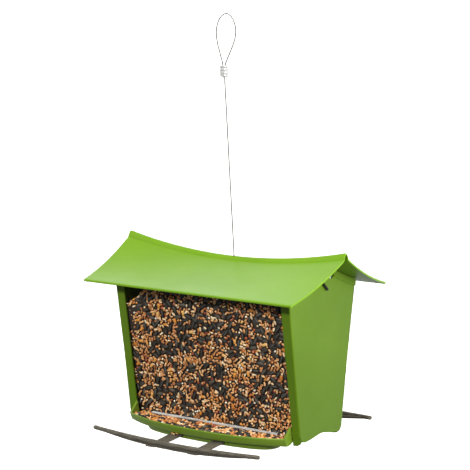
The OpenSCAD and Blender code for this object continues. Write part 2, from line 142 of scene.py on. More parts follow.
def new_object(name, shape, material, node, body="hopper"):
    """A piece from a mesh or from (points, faces), on its body and in a CAD node's place."""
    mesh = shape if isinstance(shape, bpy.types.Mesh) else mesh_from(name, *shape)
    piece = in_scene(name, mesh)
    for m in material if isinstance(material, list) else [material]:
        mesh.materials.append(m)
    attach(piece, body)
    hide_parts(node)
    return piece


@contextmanager
def editing(mesh):
    """A mesh as a bmesh, which is written back at the end."""
    bm = bmesh.new()
    bm.from_mesh(mesh)
    yield bm
    bm.to_mesh(mesh)
    bm.free()


def mesh_from(name, points, faces):
    """A mesh from points in hopper millimetres, with its faces turned outwards."""
    mesh = bpy.data.meshes.new(name)
    mesh.from_pydata([tuple(p) for p in place(points)], [], [tuple(f) for f in faces])
    with editing(mesh) as bm:
        bmesh.ops.remove_doubles(bm, verts=bm.verts, dist=1e-6)
        bmesh.ops.recalc_face_normals(bm, faces=bm.faces)
    return mesh


def apply_modifiers(piece):
    """Turns a piece's modifiers into plain mesh."""
    graph = bpy.context.evaluated_depsgraph_get()
    mesh = bpy.data.meshes.new_from_object(piece.evaluated_get(graph), depsgraph=graph)
    piece.modifiers.clear()
    piece.data = mesh


def soften(piece, width, segments=3, angle=35, smooth=40):
    """Rounds a piece's edges by a width in millimetres and shades it smooth between them."""
    if width:
        bevel = piece.modifiers.new("edges", "BEVEL")
        bevel.width = width / 1000
        bevel.segments = segments
        bevel.limit_method = "ANGLE"
        bevel.angle_limit = math.radians(angle)
        apply_modifiers(piece)
    shade(piece.data, smooth)
    if width:
        level = piece.modifiers.new("flats", "WEIGHTED_NORMAL")
        level.keep_sharp = True
        apply_modifiers(piece)
    return piece


def shade(mesh, angle):
    """Smooth shading, with the edges sharper than an angle kept."""
    mesh.polygons.foreach_set("use_smooth", [True] * len(mesh.polygons))
    mesh.set_sharp_from_angle(angle=math.radians(angle))


def loop_faces(rows, cols, closed_rows=False, closed_cols=False):
    """Quads between neighbouring rows of a grid of points."""
    return [
        (j * cols + i, j * cols + (i + 1) % cols,
         (j + 1) % rows * cols + (i + 1) % cols, (j + 1) % rows * cols + i)
        for j in range(rows if closed_rows else rows - 1)
        for i in range(cols if closed_cols else cols - 1)
    ]


def tube_faces(rows, cols):
    """Faces of a closed tube of rows of points, with a cap at each end."""
    last = rows * cols - 1
    caps = [tuple(range(cols)), tuple(range(last, last - cols, -1))]
    return loop_faces(rows, cols, closed_cols=True) + caps


def prism(outline, axis, low, high):
    """Points and faces of an outline pushed along an axis. axis "x" takes (y, z) points."""
    at = "xyz".index(axis)
    n = len(outline)
    points = [(*p[:at], a, *p[at:]) for a in (low, high) for p in outline]
    faces = [tuple(range(n)), tuple(range(2 * n - 1, n - 1, -1))]
    faces += [(k, n + k, n + (k + 1) % n, (k + 1) % n) for k in range(n)]
    return points, faces


def shell_of(halves):
    """Points and faces of a shell that is the same at the front and the back.

    halves has (upper, lower) for each section along X: points at +Y from the edge to the middle.
    """
    rows = []
    for upper, lower in halves:
        # one closed loop: from the front edge up and over the middle to the back, and home below
        rows.append([(x, -y, z) for x, y, z in upper] + upper[-2::-1]
                    + lower + [(x, -y, z) for x, y, z in lower[-2::-1]])
    points = [p for row in rows for p in row]
    cols = len(rows[0])
    n_upper = 2 * len(halves[0][0]) - 1
    faces = loop_faces(len(rows), cols, closed_cols=True)
    for end in (0, len(rows) - 1):
        faces += end_strip(end * cols, n_upper, cols - n_upper, points)
    return points, faces


def end_strip(base, n_upper, n_lower, points):
    """A shell's end: triangles between the upper and the lower edge of its section, by reach."""
    top = [base + k for k in range(n_upper)]
    bottom = [base + n_upper + n_lower - 1 - k for k in range(n_lower)]
    faces, i, j = [], 0, 0
    while i < len(top) - 1 or j < len(bottom) - 1:
        step_top = i < len(top) - 1 and (
            j == len(bottom) - 1 or points[top[i + 1]][1] <= points[bottom[j + 1]][1])
        if step_top:
            faces.append((top[i], top[i + 1], bottom[j]))
            i += 1
        else:
            faces.append((top[i], bottom[j + 1], bottom[j]))
            j += 1
    return faces


def joined(parts):
    """Several (points, faces) as one."""
    points, faces = [], []
    for p, f in parts:
        faces += [tuple(i + len(points) for i in face) for face in f]
        points += [tuple(q) for q in p]
    return points, faces


def mirrored(part, axis=1):
    """A (points, faces) part seen in a mirror across an axis."""
    points = [tuple(-c if k == axis else c for k, c in enumerate(p)) for p in part[0]]
    return points, [tuple(reversed(f)) for f in part[1]]


def frames_along(path, first):
    """Unit tangents and two unit directions across a path, turning as little as they can."""
    path = np.asarray(path, float)
    along = unit(np.gradient(path, axis=0))
    side = np.empty_like(path)
    n = np.asarray(first, float)
    for k, t in enumerate(along):
        n = n - n.dot(t) * t
        n /= np.linalg.norm(n)
        side[k] = n
    return along, side, np.cross(along, side)


def tube(path, radius_at, sides, first=(0, 1, 0)):
    """A closed tube whose radius is radius_at(k, angles) at the path's point k."""
    path = np.asarray(path, float)
    _, side, up = frames_along(path, first)
    angles = np.arange(sides) * 2 * math.pi / sides
    points = []
    for k, p in enumerate(path):
        r = radius_at(k, angles)[:, None] * np.ones((sides, 1))
        points.append(p + r * (np.cos(angles)[:, None] * side[k] + np.sin(angles)[:, None] * up[k]))
    return np.vstack(points), tube_faces(len(path), sides)


def through(points, steps):
    """A smooth curve through a route's points."""
    p = np.asarray(points, float)
    out = []
    for k in range(len(p) - 1):
        a, b, c, d = p[max(k - 1, 0)], p[k], p[k + 1], p[min(k + 2, len(p) - 1)]
        for t in np.arange(steps) / steps:
            out.append((2 * b + (c - a) * t + (2 * a - 5 * b + 4 * c - d) * t * t
                        + (3 * b - a - 3 * c + d) * t ** 3) / 2)
    return np.array(out + [p[-1]])


def even(path, spacing):
    """The path again with points a fixed distance apart."""
    step = np.linalg.norm(np.diff(path, axis=0), axis=1)
    at = np.concatenate([[0], np.cumsum(step)])
    want = np.linspace(0, at[-1], int(at[-1] / spacing) + 1)
    return np.stack([np.interp(want, at, path[:, k]) for k in range(3)], axis=1)


def node_copy(node, name, material):
    """A piece with a CAD node's own shape, ready for its edges to be softened."""
    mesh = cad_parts[node].data.copy()
    mesh.materials.clear()
    with editing(mesh) as bm:
        bmesh.ops.remove_doubles(bm, verts=bm.verts, dist=2e-6)
        bmesh.ops.dissolve_limit(bm, angle_limit=math.radians(0.6), verts=bm.verts, edges=bm.edges)
    return new_object(name, mesh, material, node)


def cut_away(piece, part):
    """Takes the shape of a (points, faces) part out of a piece."""
    cutter = in_scene("cutter", mesh_from("cutter", *part))
    cut = piece.modifiers.new("cut", "BOOLEAN")
    cut.object = cutter
    cut.solver = "EXACT"
    apply_modifiers(piece)
    bpy.data.objects.remove(cutter)


# ---- materials ----


class Nodes:
    """A node tree, with short calls for the nodes that the materials and the room share."""

    def __init__(self, owner):
        owner.use_nodes = True
        self.tree = owner.node_tree

    def put(self, socket, value):
        """Sets a node's input to a value, or links another node's output to it."""
        if isinstance(value, bpy.types.NodeSocket):
            self.tree.links.new(value, socket)
        else:
            socket.default_value = value

    def feed(self, node, **inputs):
        """Puts values or links into a node's inputs by name, with _ for each space."""
        for key, value in inputs.items():
            self.put(node.inputs[key.replace("_", " ")], value)

    def node(self, kind, out, *in_order, setup=None, **inputs):
        """A new node with its inputs fed, in order or by name. Returns the output called out."""
        n = self.tree.nodes.new("ShaderNode" + kind)
        for key, value in (setup or {}).items():
            setattr(n, key, value)
        for socket, value in zip(n.inputs, in_order):
            self.put(socket, value)
        self.feed(n, **inputs)
        return n.outputs[out]

    def place(self):
        """Object coordinates, which are metres in the row frame."""
        return self.node("TexCoord", "Object")

    def noise(self, scale, detail=3.0, roughness=0.5, where=None):
        return self.node("TexNoise", "Fac", Scale=scale, Detail=detail, Roughness=roughness,
                         Vector=where or self.place())

    def spread(self, value, low, high, to_low, to_high):
        return self.node("MapRange", "Result", Value=value, From_Min=low, From_Max=high,
                         To_Min=to_low, To_Max=to_high)

    def ramp(self, value, stops):
        n = self.tree.nodes.new("ShaderNodeValToRGB")
        elements = n.color_ramp.elements
        while len(elements) < len(stops):
            elements.new(0.5)
        for element, (at, colour) in zip(elements, stops):
            element.position = at
            element.color = (*colour, 1)
        self.feed(n, Fac=value)
        return n.outputs["Color"]

    def bump(self, height, distance, strength, **under):
        return self.node("Bump", "Normal", Distance=distance, Strength=strength, Height=height, **under)

    def arithmetic(self, operation, *values):
        return self.node("Math", "Value", *values, setup={"operation": operation})

    def mix(self, blend, share, a, b):
        return self.node("Mix", "Result", setup={"data_type": "RGBA", "blend_type": blend},
                         Factor=share, A=a, B=b)


class Shader(Nodes):
    """A material's nodes, round its main shader."""

    def __init__(self, name):
        self.material = bpy.data.materials.new(name)
        super().__init__(self.material)
        self.main = self.tree.nodes["Principled BSDF"]

    def set(self, **inputs):
        self.feed(self.main, **inputs)


def plastic(name, deep, pale, rough=(0.34, 0.46), gloss=0.34):
    """Moulded polypropylene: slow colour drift from the mould, fine grain and faint handling marks."""
    s = Shader(name)
    grain = s.bump(s.noise(2600, 2), 0.00003, 0.04)
    s.set(Base_Color=s.ramp(s.noise(9, 4), [(0.32, deep), (0.68, pale)]),
          Roughness=s.spread(s.noise(40, 2), 0.35, 0.7, *rough),
          Normal=s.bump(s.noise(26, 2), 0.0006, 0.25, Normal=grain),
          IOR=1.49, Specular_IOR_Level=gloss)
    return s.material


def perch_plastic():
    """Grey-brown plastic with streaks that run along the perch, like bark."""
    s = Shader("perch_plastic")
    stretched = s.node("Mapping", "Vector", Vector=s.place(), Scale=(0.06, 1, 1))
    streak = s.noise(900, 5, 0.6, stretched)
    colours = [(0.3, (0.030, 0.026, 0.019)), (0.52, (0.082, 0.073, 0.056)), (0.74, (0.17, 0.152, 0.118))]
    s.set(Base_Color=s.ramp(streak, colours), Normal=s.bump(streak, 0.0002, 0.6),
          Roughness=s.spread(streak, 0.3, 0.7, 0.68, 0.48), Specular_IOR_Level=0.35)
    return s.material


def metal(name, dark, light, roughness):
    """Metal with blotches of two shades and a fine grain."""
    s = Shader(name)
    stain = s.noise(300, 5, 0.6)
    s.set(Base_Color=s.ramp(stain, [(0.3, dark), (0.7, light)]),
          Roughness=s.spread(stain, 0.3, 0.7, *roughness),
          Normal=s.bump(s.noise(2400, 2), 0.00002, 0.4), Metallic=1.0)
    return s.material


def clear_plastic():
    """A clear pane: it lets light straight through and mirrors more at a low angle, with fine scuffs."""
    s = Shader("clear_plastic")
    s.tree.nodes.remove(s.main)
    through_it = s.node("BsdfTransparent", "BSDF", Color=(0.99, 0.995, 0.992, 1))
    gloss = s.node("BsdfGlossy", "BSDF", Color=(0.2, 0.2, 0.2, 1),
                   Roughness=s.spread(s.noise(90, 5), 0.4, 0.7, 0.02, 0.12))
    # only the side that faces the light or the eye mirrors, so light leaves the pane freely
    outside = s.arithmetic("SUBTRACT", 1.0, s.node("NewGeometry", "Backfacing"))
    share = s.arithmetic("MULTIPLY", s.node("Fresnel", "Fac", IOR=1.4), outside)
    mirror = s.node("MixShader", "Shader", share, through_it, gloss)
    haze = s.node("BsdfDiffuse", "BSDF", Color=(0.85, 0.87, 0.86, 1))
    scuffs = s.spread(s.noise(700, 6, 0.7), 0.55, 0.85, 0.0, 0.03)
    s.feed(s.tree.nodes["Material Output"], Surface=s.node("MixShader", "Shader", scuffs, mirror, haze))
    return s.material


def clear_edge():
    """The pane's thick lower lip, in a pale grey that paints in the light its thick edge gathers, as well
    as its milky look.
    """
    s = Shader("clear_edge")
    s.set(Base_Color=s.ramp(s.noise(120, 4), [(0.3, (0.42, 0.41, 0.40)), (0.7, (0.62, 0.61, 0.60))]),
          Roughness=s.spread(s.noise(400), 0.3, 0.7, 0.15, 0.35), IOR=1.46, Alpha=0.9)
    return s.material


def seed_material(name, stops, roughness=0.5, speckle=0.25, stripes=None, gloss=0.6):
    """One kind of seed: each takes its own colour from stops, with mottling over its skin."""
    s = Shader(name)
    own = s.ramp(s.node("NewGeometry", "Random Per Island"), stops)
    mottle = s.noise(1400, 3, 0.6)
    skin = s.mix("MULTIPLY", 1.0, own, s.ramp(mottle, [(0.3, (1 - speckle,) * 3), (0.65, (1.0,) * 3)]))
    if stripes:
        count, pale = stripes
        around = s.node("SeparateXYZ", "X", Vector=s.node("UVMap", "UV"))
        wave = s.arithmetic("SINE", s.arithmetic("MULTIPLY", around, 2 * math.pi * count))
        skin = s.mix("MIX", s.spread(wave, 0.55, 0.95, 0.0, 0.75), skin, (*pale, 1))
    s.set(Base_Color=skin, Normal=s.bump(mottle, 0.0001, 0.35), Roughness=roughness,
          Specular_IOR_Level=gloss)
    return s.material


ROOF_GREEN = plastic("roof_plastic", (0.110, 0.232, 0.003), (0.130, 0.262, 0.006), (0.33, 0.37), 0.5)
HOPPER_GREEN = plastic("hopper_plastic", (0.066, 0.130, 0.002), (0.078, 0.148, 0.004), (0.42, 0.55))
TRAY_GREEN = plastic("tray_plastic", (0.104, 0.174, 0.012), (0.122, 0.200, 0.018))
CLEAR = clear_plastic()
CLEAR_EDGE = clear_edge()
PERCH = perch_plastic()
CABLE_STEEL = metal("cable_steel", (0.055, 0.052, 0.047), (0.15, 0.144, 0.134), (0.35, 0.5))
ROD_STEEL = metal("rod_steel", (0.035, 0.034, 0.032), (0.11, 0.105, 0.10), (0.35, 0.55))
FERRULE_METAL = metal("ferrule_metal", (0.74, 0.75, 0.74), (0.88, 0.89, 0.88), (0.5, 0.62))
SCREW_STEEL = metal("screw_steel", (0.45, 0.44, 0.40), (0.66, 0.65, 0.61), (0.25, 0.4))

# ---- camera ----

CAMERA_AZIMUTH, CAMERA_ELEVATION = 36.3, 8.2      # from the front towards the right, in degrees
CAMERA_DISTANCE = 2.5                             # in metres
SENSOR_WIDTH, LENS = 36, 147.1                    # in millimetres
AIM = Vector((0.96, 0.70, 62.2))                  # what the middle of the picture shows


def add_camera():
    data = bpy.data.cameras.new("camera")
    data.sensor_width = SENSOR_WIDTH
    data.lens = LENS
    data.clip_end = 100
    camera = in_scene("camera", data)
    azimuth, elevation = math.radians(CAMERA_AZIMUTH), math.radians(CAMERA_ELEVATION)
    back = Vector((math.sin(azimuth) * math.cos(elevation), -math.cos(azimuth) * math.cos(elevation),
                   math.sin(elevation)))
    camera.location = Vector(place([AIM])[0]) + CAMERA_DISTANCE * back
    camera.rotation_euler = back.to_track_quat("Z", "Y").to_euler()
    bpy.context.scene.camera = camera


# ---- cable and its fittings ----


def hanger_cable():
    """Wire rope of six strands twisted round a core, along the cable's route."""
    strands, lay, sides, spacing = 6, 9.0, 36, 0.8
    path = even(through(CABLE_ROUTE, 10), spacing)

    def radius_at(k, angles):
        turn = 2 * math.pi * spacing * k / lay
        return CABLE_D / 2 * (0.84 + 0.16 * np.abs(np.cos((angles - turn) * strands / 2)) ** 0.7)

    cable = new_object("cable_strands", tube(path, radius_at, sides), CABLE_STEEL,
                       "hanger_cable")
    shade(cable.data, 50)
    return cable, place(even(path, 2.0))


def sleeve(size, at, grooves):
    """A pressed sleeve round two strands: flat sides, rounded edges and the press's shallow bites."""
    w, t, h = size
    long_way, short_way = max(w, t) / 2, min(w, t) / 2
    rings, sides = 40, 48
    points = []
    for j in range(rings):
        z = h * j / (rings - 1)
        edge = min(z, h - z)
        shrink = 1 - 0.10 * max(0.0, 1 - edge / 0.9) ** 2
        bite = max(0.16 * math.exp(-((z - g * h) / (0.055 * h)) ** 2) for g in grooves)
        for s in range(sides):
            a = 2 * math.pi * s / sides
            c, n = math.cos(a), math.sin(a)
            u = math.copysign(abs(c) ** 0.55, c) * (long_way - short_way) + c * short_way
            u *= 1 + 0.15 * bite
            v = n * short_way * (1 - bite) * (1 - 0.06 * math.cos(2 * a))
            if w < t:
                u, v = v, u
            points.append((at[0] + max(-w / 2, min(w / 2, u * shrink)),
                           at[1] + max(-t / 2, min(t / 2, v * shrink)), at[2] + z))
    return points, tube_faces(rings, sides)


def ferrules():
    made = []
    for name, node, size, at, grooves in (
            ("pressed_ferrule", "upper_ferrule", FERRULE_SIZE, FERRULE_AT, (0.2, 0.5, 0.8)),
            ("eye_ferrule", "lower_ferrule", CRIMP_SIZE, CRIMP_AT, (0.3, 0.7))):
        piece = new_object(name, sleeve(size, at, grooves), FERRULE_METAL, node)
        made.append(soften(piece, 0.25, segments=2, angle=50, smooth=45))
    return made


add_camera()
cable, cable_path = hanger_cable()
ferrule_pieces = ferrules()

# ---- roof ----


def ridge_top(x):
    return RIDGE_MID + (RIDGE_END - RIDGE_MID) * (x / RIDGE_HALF) ** 2


def band_rise(x):
    return BAND_MID + (BAND_END - BAND_MID) * (x / RIDGE_HALF) ** 2


def roof_z(x, y):
    """Height of the slopes' upper surface."""
    t = (ROOF_HALF - abs(y)) / (ROOF_HALF - BAND_HALF)
    rise = ridge_top(x) - band_rise(x) - EAVE_TOP
    return EAVE_TOP + rise * ((1 - ROOF_CURL) * t + ROOF_CURL * t * t)


def roof_reach(y):
    """Half the roof's length at a distance from the ridge."""
    return RIDGE_HALF - (RIDGE_HALF - EAVE_HALF) * abs(y) / ROOF_HALF


def roof_shell():
    """The roof's skin: a rounded eave, a hollow slope and a raised band along the ridge."""
    slope = np.linspace(ROOF_HALF - 1.6, BAND_HALF + 1.7, 34)
    # (y, height over the slope, share of the band's rise) for one half's upper side, from the eave
    upper = [(y, 0.0, 0.0) for y in slope]
    upper += [(BAND_HALF + out, over, 0.0) for out, over in (
        (1.25, 0.10), (0.95, 0.32), (0.55, 0.36), (0.25, 0.0), (-0.02, -0.15))]
    upper += [(BAND_HALF * out, 0, up) for out, up in (
        (0.96, 0.12), (0.88, 0.27), (0.78, 0.42), (0.66, 0.57), (0.53, 0.72), (0.40, 0.84), (0.26, 0.935),
        (0.13, 0.985), (0.0, 1.0))]
    lower = [(y, -ROOF_WALL, 0.0) for y in slope[1:]]
    lower += [(BAND_HALF - into, -ROOF_WALL, up) for into, up in (
        (1.4, 0.2), (2.0, 0.75), (3.0, 0.94), (BAND_HALF, 0.98))]
    # (y, z) round the eave, outside and underneath
    eave = [(ROOF_HALF - into, z) for into, z in (
        (0.35, EAVE_BOTTOM), (0.08, -0.3), (0.0, 0.1), (0.0, 1.25), (0.15, 1.7), (0.6, 2.02))]
    under_eave = [(ROOF_HALF - into, z) for into, z in (
        (1.9, EAVE_BOTTOM), (2.2, -0.35), (2.6, -0.1))]
    corner = 3.0
    ends = [corner, 2.4, 1.8, 1.2, 0.7, 0.3, 0.0]
    inner = [s * (1 - 4.0 / RIDGE_HALF) for s in np.linspace(-1, 1, 61)]

    def point(station, y, over, share, fixed=None):
        reach = roof_reach(y)
        share_x, inset = station
        x = share_x * reach if inset is None else math.copysign(reach - inset, share_x)
        if fixed is not None:
            return (x, y, fixed)
        z = roof_z(x, max(y, BAND_HALF)) + over + share * band_rise(x)
        if share > 0.3 and over >= 0 and inset is not None:
            z -= (corner - math.sqrt(max(0.0, corner ** 2 - (corner - inset) ** 2))) * share * 0.75
        return (x, y, z)

    stations = [(-1, d) for d in reversed(ends)] + [(s, None) for s in inner] + [(1, d) for d in ends]
    halves = []
    for st in stations:
        half = [point(st, y, 0, 0, z) for y, z in eave] + [point(st, *u) for u in upper]
        under = [point(st, y, 0, 0, z) for y, z in under_eave] + [point(st, *u) for u in lower]
        halves.append((half, under))
    return shell_of(halves)


def roof_rib(x0):
    """A rib under the slopes, inside an end wall, which keeps the roof from sliding."""
    ys = np.linspace(30, 54, 9)
    outline = [(y, roof_z(x0, y) - ROOF_WALL / 2) for y in ys]
    outline += [(y, roof_z(x0, y) - ROOF_WALL - 8) for y in reversed(ys)]
    return prism(outline, "x", x0 - 1, x0 + 1)


def cut_hole(piece, at, diameter, tilt):
    """A round hole through a piece, leaning by tilt degrees towards -X."""
    angles = np.linspace(0, 2 * math.pi, 33)[:-1]
    ring = [(math.cos(a) * diameter / 2, math.sin(a) * diameter / 2) for a in angles]
    half_deep = 15.0
    points, faces = prism(ring, "z", -half_deep, half_deep)
    turn = np.array(Matrix.Rotation(-math.radians(tilt), 3, "Y"))
    cut_away(piece, (np.asarray(points) @ turn.T + np.array(at), faces))


def roof():
    skin = new_object("roof_skin", roof_shell(), ROOF_GREEN, "roof", body="roof")
    cut_hole(skin, (0, 0, RIDGE_MID), ROOF_BORE, CABLE_LEAN)
    soften(skin, 0.55, angle=48, smooth=50)
    rib_x = PANEL_IN - 2.4
    ribs = joined([rib for x in (-rib_x, rib_x) for rib in (roof_rib(x), mirrored(roof_rib(x)))])
    soften(new_object("roof_ribs", ribs, ROOF_GREEN, "roof", body="roof"), 0.4)


# ---- hopper, base and windows ----


def round_corners(mesh, radius):
    """Gives an end wall's tall outer corners, between its panel and its flanges, a wider radius."""
    def on_corner(v):
        x, y, z = (v.co - MIDDLE) * 1000
        return abs(abs(x) - HOPPER_HALF) < 0.05 and abs(abs(y) - face_y(z)) < 0.15

    with editing(mesh) as bm:
        tall = [e for e in bm.edges if all(on_corner(v) for v in e.verts) and e.calc_length() > 0.02]
        bmesh.ops.bevel(bm, geom=tall, offset=radius / 1000, segments=6, profile=0.5, affect="EDGES",
                        clamp_overlap=False)


def end_walls():
    for node in ("left_end_wall", "right_end_wall"):
        piece = node_copy(node, node + "_moulding", HOPPER_GREEN)
        round_corners(piece.data, 3.6)
        soften(piece, 0.45, angle=32)


def windows():
    """The clear panes, with the lower lip between the grooves in its own pale material, which paints in
    the light the lip gathers as well as its milky look.
    """
    lip_top = MIDDLE.z + (WINDOW_BOTTOM + LIP_TALL) / 1000
    for node in ("front_window", "rear_window"):
        piece = node_copy(node, node + "_pane", [CLEAR, CLEAR_EDGE])
        soften(piece, 0.25, segments=2, angle=40)
        with editing(piece.data) as bm:
            for x in (-LIP_HALF, LIP_HALF):
                bmesh.ops.bisect_plane(bm, geom=bm.verts[:] + bm.edges[:] + bm.faces[:],
                                       plane_co=place([(x, 0, 0)])[0], plane_no=(1, 0, 0))
        # the lip's faces take the pale material, whose colour paints in the light the thick edge gathers
        for face in piece.data.polygons:
            milky = face.center.z < lip_top and abs(face.center.x - MIDDLE.x) < LIP_HALF / 1000
            face.material_index = 1 if milky else 0


def tray_shell():
    """The base's floor with its ramp, and a bowed tray with a rolled lip at each side."""
    def inside(x):
        lip, wall = lip_y(x), tray_y(x)
        return [(lip - 0.55, LIP_Z - 0.12), (lip - 1.1, LIP_Z), (lip - 1.65, LIP_Z - 0.12),
                (lip - 2.05, LIP_Z - 0.5), (lip - 2.3, LIP_Z - 1.1), (wall - 2.5, FLOOR_TOP + 1.3),
                (wall - 2.8, FLOOR_TOP + 0.6), (wall - 3.4, FLOOR_TOP + 0.15), (wall - 4.4, FLOOR_TOP),
                (RAMP_HALF + 2, FLOOR_TOP), (RAMP_HALF + 0.4, FLOOR_TOP + 0.3),
                (RAMP_HALF - 1, FLOOR_TOP + 1.3), (2.2, RAMP_TOP - 2.4), (1.0, RAMP_TOP - 0.8),
                (0, RAMP_TOP - 0.4)]

    def outside(x):
        lip, wall = lip_y(x), tray_y(x)
        return [(lip - 0.15, LIP_Z - 0.5), (lip, LIP_Z - 1.1), (lip - 0.05, LIP_Z - 1.9),
                (wall + 0.35, TRAY_BOTTOM + 0.7), (wall, TRAY_BOTTOM + 0.2), (wall - 0.4, TRAY_BOTTOM),
                (wall - 1.8, TRAY_BOTTOM), (wall - WALL, TRAY_BOTTOM + 0.4),
                (wall - WALL, FLOOR_BOTTOM - 0.4), (wall - WALL - 0.4, FLOOR_BOTTOM),
                (RAMP_HALF + 2.4, FLOOR_BOTTOM), (RAMP_HALF + 1, FLOOR_BOTTOM + 0.3),
                (2.4, RAMP_TOP - 5.9), (0, RAMP_TOP - 3.4)]

    return shell_of([([(x, y, z) for y, z in inside(x)], [(x, y, z) for y, z in outside(x)])
                     for x in np.linspace(-TRAY_HALF, TRAY_HALF, 81)])


def floor_end():
    """The floor between a tray's end and an end wall."""
    half = [(0, RAMP_TOP - 0.4), (RAMP_HALF, FLOOR_TOP), (FOOT_HALF, FLOOR_TOP),
            (FOOT_HALF, FLOOR_BOTTOM), (RAMP_HALF + 1, FLOOR_BOTTOM), (0, RAMP_TOP - 3.4)]
    outline = half + [(-y, z) for y, z in half[-2:0:-1]]
    return prism(outline, "x", TRAY_HALF - 0.3, PANEL_IN - 0.4)


def cheek():
    """A tray's end, which rises from the lip to the hopper's flange."""
    flange = -face_y(CHEEK_TOP)
    outline = [(-LIP_REACH, LIP_Z - 0.6), (-LIP_REACH + 0.3, LIP_Z), (WALL - LIP_REACH, LIP_Z + 0.2),
               (flange - 1.2, CHEEK_TOP - 0.2), (flange - 0.4, CHEEK_TOP - 0.4),
               (-face_y(-185) - 0.4, -187), (10 - LIP_REACH, TRAY_BOTTOM),
               (TRAY_DRAFT - LIP_REACH, TRAY_BOTTOM)]
    return prism(outline, "x", TRAY_HALF - WALL, TRAY_HALF + 0.6)


def boss_ring(margin, z):
    """The outline of the housing under a tray, in from its edge by a margin, at a height."""
    half = BOSS_HALF - margin
    deep = tray_y(0) - 6 - margin - BOSS_BACK
    ring = []
    for s in np.linspace(-1, 1, 65):
        x = half * math.sin(s * math.pi / 2)
        ring.append((x, -(BOSS_BACK + deep * max(0.0, math.cos(s * math.pi / 2)) ** 0.55), z))
    back = -BOSS_BACK + (0 if margin > 4 else 2)
    for s in np.linspace(1, -1, 24):
        ring.append((half * s, back, z))
    return ring


def boss():
    """The hollow housing that holds a perch's straps."""
    levels = [(0, FLOOR_BOTTOM + 0.2), (4.2, BOSS_BOTTOM + 1.2), (4.7, BOSS_BOTTOM + 0.45),
              (5.3, BOSS_BOTTOM), (6.4, BOSS_BOTTOM), (6.9, BOSS_BOTTOM + 0.45),
              (6.6, BOSS_BOTTOM + 1.2), (2.4, FLOOR_BOTTOM + 0.1)]
    rings = [boss_ring(margin, z) for margin, z in levels]
    points = [p for ring in rings for p in ring]
    return points, loop_faces(len(rings), len(rings[0]), closed_rows=True, closed_cols=True)


def socket(x):
    """The pocket under a tray that a strap plugs into: a rectangular sleeve."""
    points = []
    for y in (-SOCKET_FRONT, -SOCKET_BACK):
        for half, low, high in ((STRAP_WIDTH / 2 + 2.4, STRAP_TOP - 5.2, FLOOR_BOTTOM),
                                (STRAP_WIDTH / 2 + 0.2, STRAP_TOP - 3.1, STRAP_TOP + 0.2)):
            points += [(x - half, y, low), (x + half, y, low), (x + half, y, high), (x - half, y, high)]
    faces = []
    for k in range(4):
        m = (k + 1) % 4
        faces += [(k, m, 4 + m, 4 + k), (8 + k, 12 + k, 12 + m, 8 + m),
                  (k, 8 + k, 8 + m, m), (4 + k, 4 + m, 12 + m, 12 + k)]
    return points, faces


def base():
    pockets = joined([socket(-STRAP_X), socket(STRAP_X)])
    corners = [floor_end(), cheek(), mirrored(cheek())]
    ends = joined([part for corner in corners for part in (corner, mirrored(corner, axis=0))])
    for name, part, rounding in (
            ("tray_moulding", tray_shell(), dict(width=0, smooth=48)),
            ("tray_ends", ends, dict(width=0.45, angle=30)),
            ("front_housing", boss(), dict(width=0)),
            ("front_pockets", pockets, dict(width=0.35, segments=2)),
            ("rear_housing", mirrored(boss()), dict(width=0)),
            ("rear_pockets", mirrored(pockets), dict(width=0.35, segments=2))):
        piece = new_object(name, part, TRAY_GREEN, "seed_tray_base")
        soften(piece, **rounding)


# ---- perches ----


def perch_rod(s):
    """The rod's centreline, with s from -1 to 1 along it."""
    bow = 1 - s * s
    return np.array([s * PERCH_HALF, -PERCH_REACH - PERCH_BOW * bow, PERCH_Z - PERCH_SAG * bow])


def perch_strand(s):
    return perch_rod(s) + (1 - s * s) * np.array([0, STRAND_BACK, -STRAND_DOWN])


def ridged(radius, ridges, depth, tips):
    """A radius for each point of a perch's tube, with ridges along it and rounded tips."""
    def radius_at(k, angles):
        wave = np.abs(np.cos(angles * ridges / 2 + 0.4 * math.sin(k * 0.11)))
        return radius[k] * (1 - depth + depth * wave) * tips[k]
    return radius_at


def perch_tubes():
    """The rod and the strand behind it, which meet at the tips like grown-together twigs."""
    count = 140
    inner = np.linspace(-1, 1, count)
    rod_s = np.concatenate([[-1, -0.9985, -0.995], inner[1:-1] * 0.989, [0.995, 0.9985, 1]])
    rod_tip = np.ones(len(rod_s))
    rod_tip[:3] = rod_tip[:-4:-1] = (0.55, 0.82, 0.96)
    swell = 0.05 * np.sin(rod_s * 23) + 0.03 * np.sin(rod_s * 51 + 1)
    rod = tube([perch_rod(s) for s in rod_s],
               ridged(2.7 + 0.45 * (1 - rod_s ** 2) + swell, 15, 0.10, rod_tip), 60, (0, 0, 1))
    strand_s = inner * 0.9
    radius = 2.9 - 1.3 * np.abs(inner) ** 3 + 0.06 * np.sin(inner * 19)
    strand = tube([perch_strand(s) for s in strand_s],
                  ridged(radius, 13, 0.10, np.ones(count)), 52, (0, 0, 1))
    return [rod, strand]


def perch_web(side):
    """The web that joins rod and strand near a tip."""
    rows = []
    for s in np.linspace(0.62, 0.93, 14):
        a, b = perch_rod(side * s), perch_strand(side * s)
        thick = 0.9 if s > 0.66 else 0.9 * (s - 0.6) / 0.06
        across = np.array([0, 0.5, 0.8]) * thick
        rows.append([a + across, b + across, b - across, a - across])
    return [p for row in rows for p in row], tube_faces(len(rows), 4)


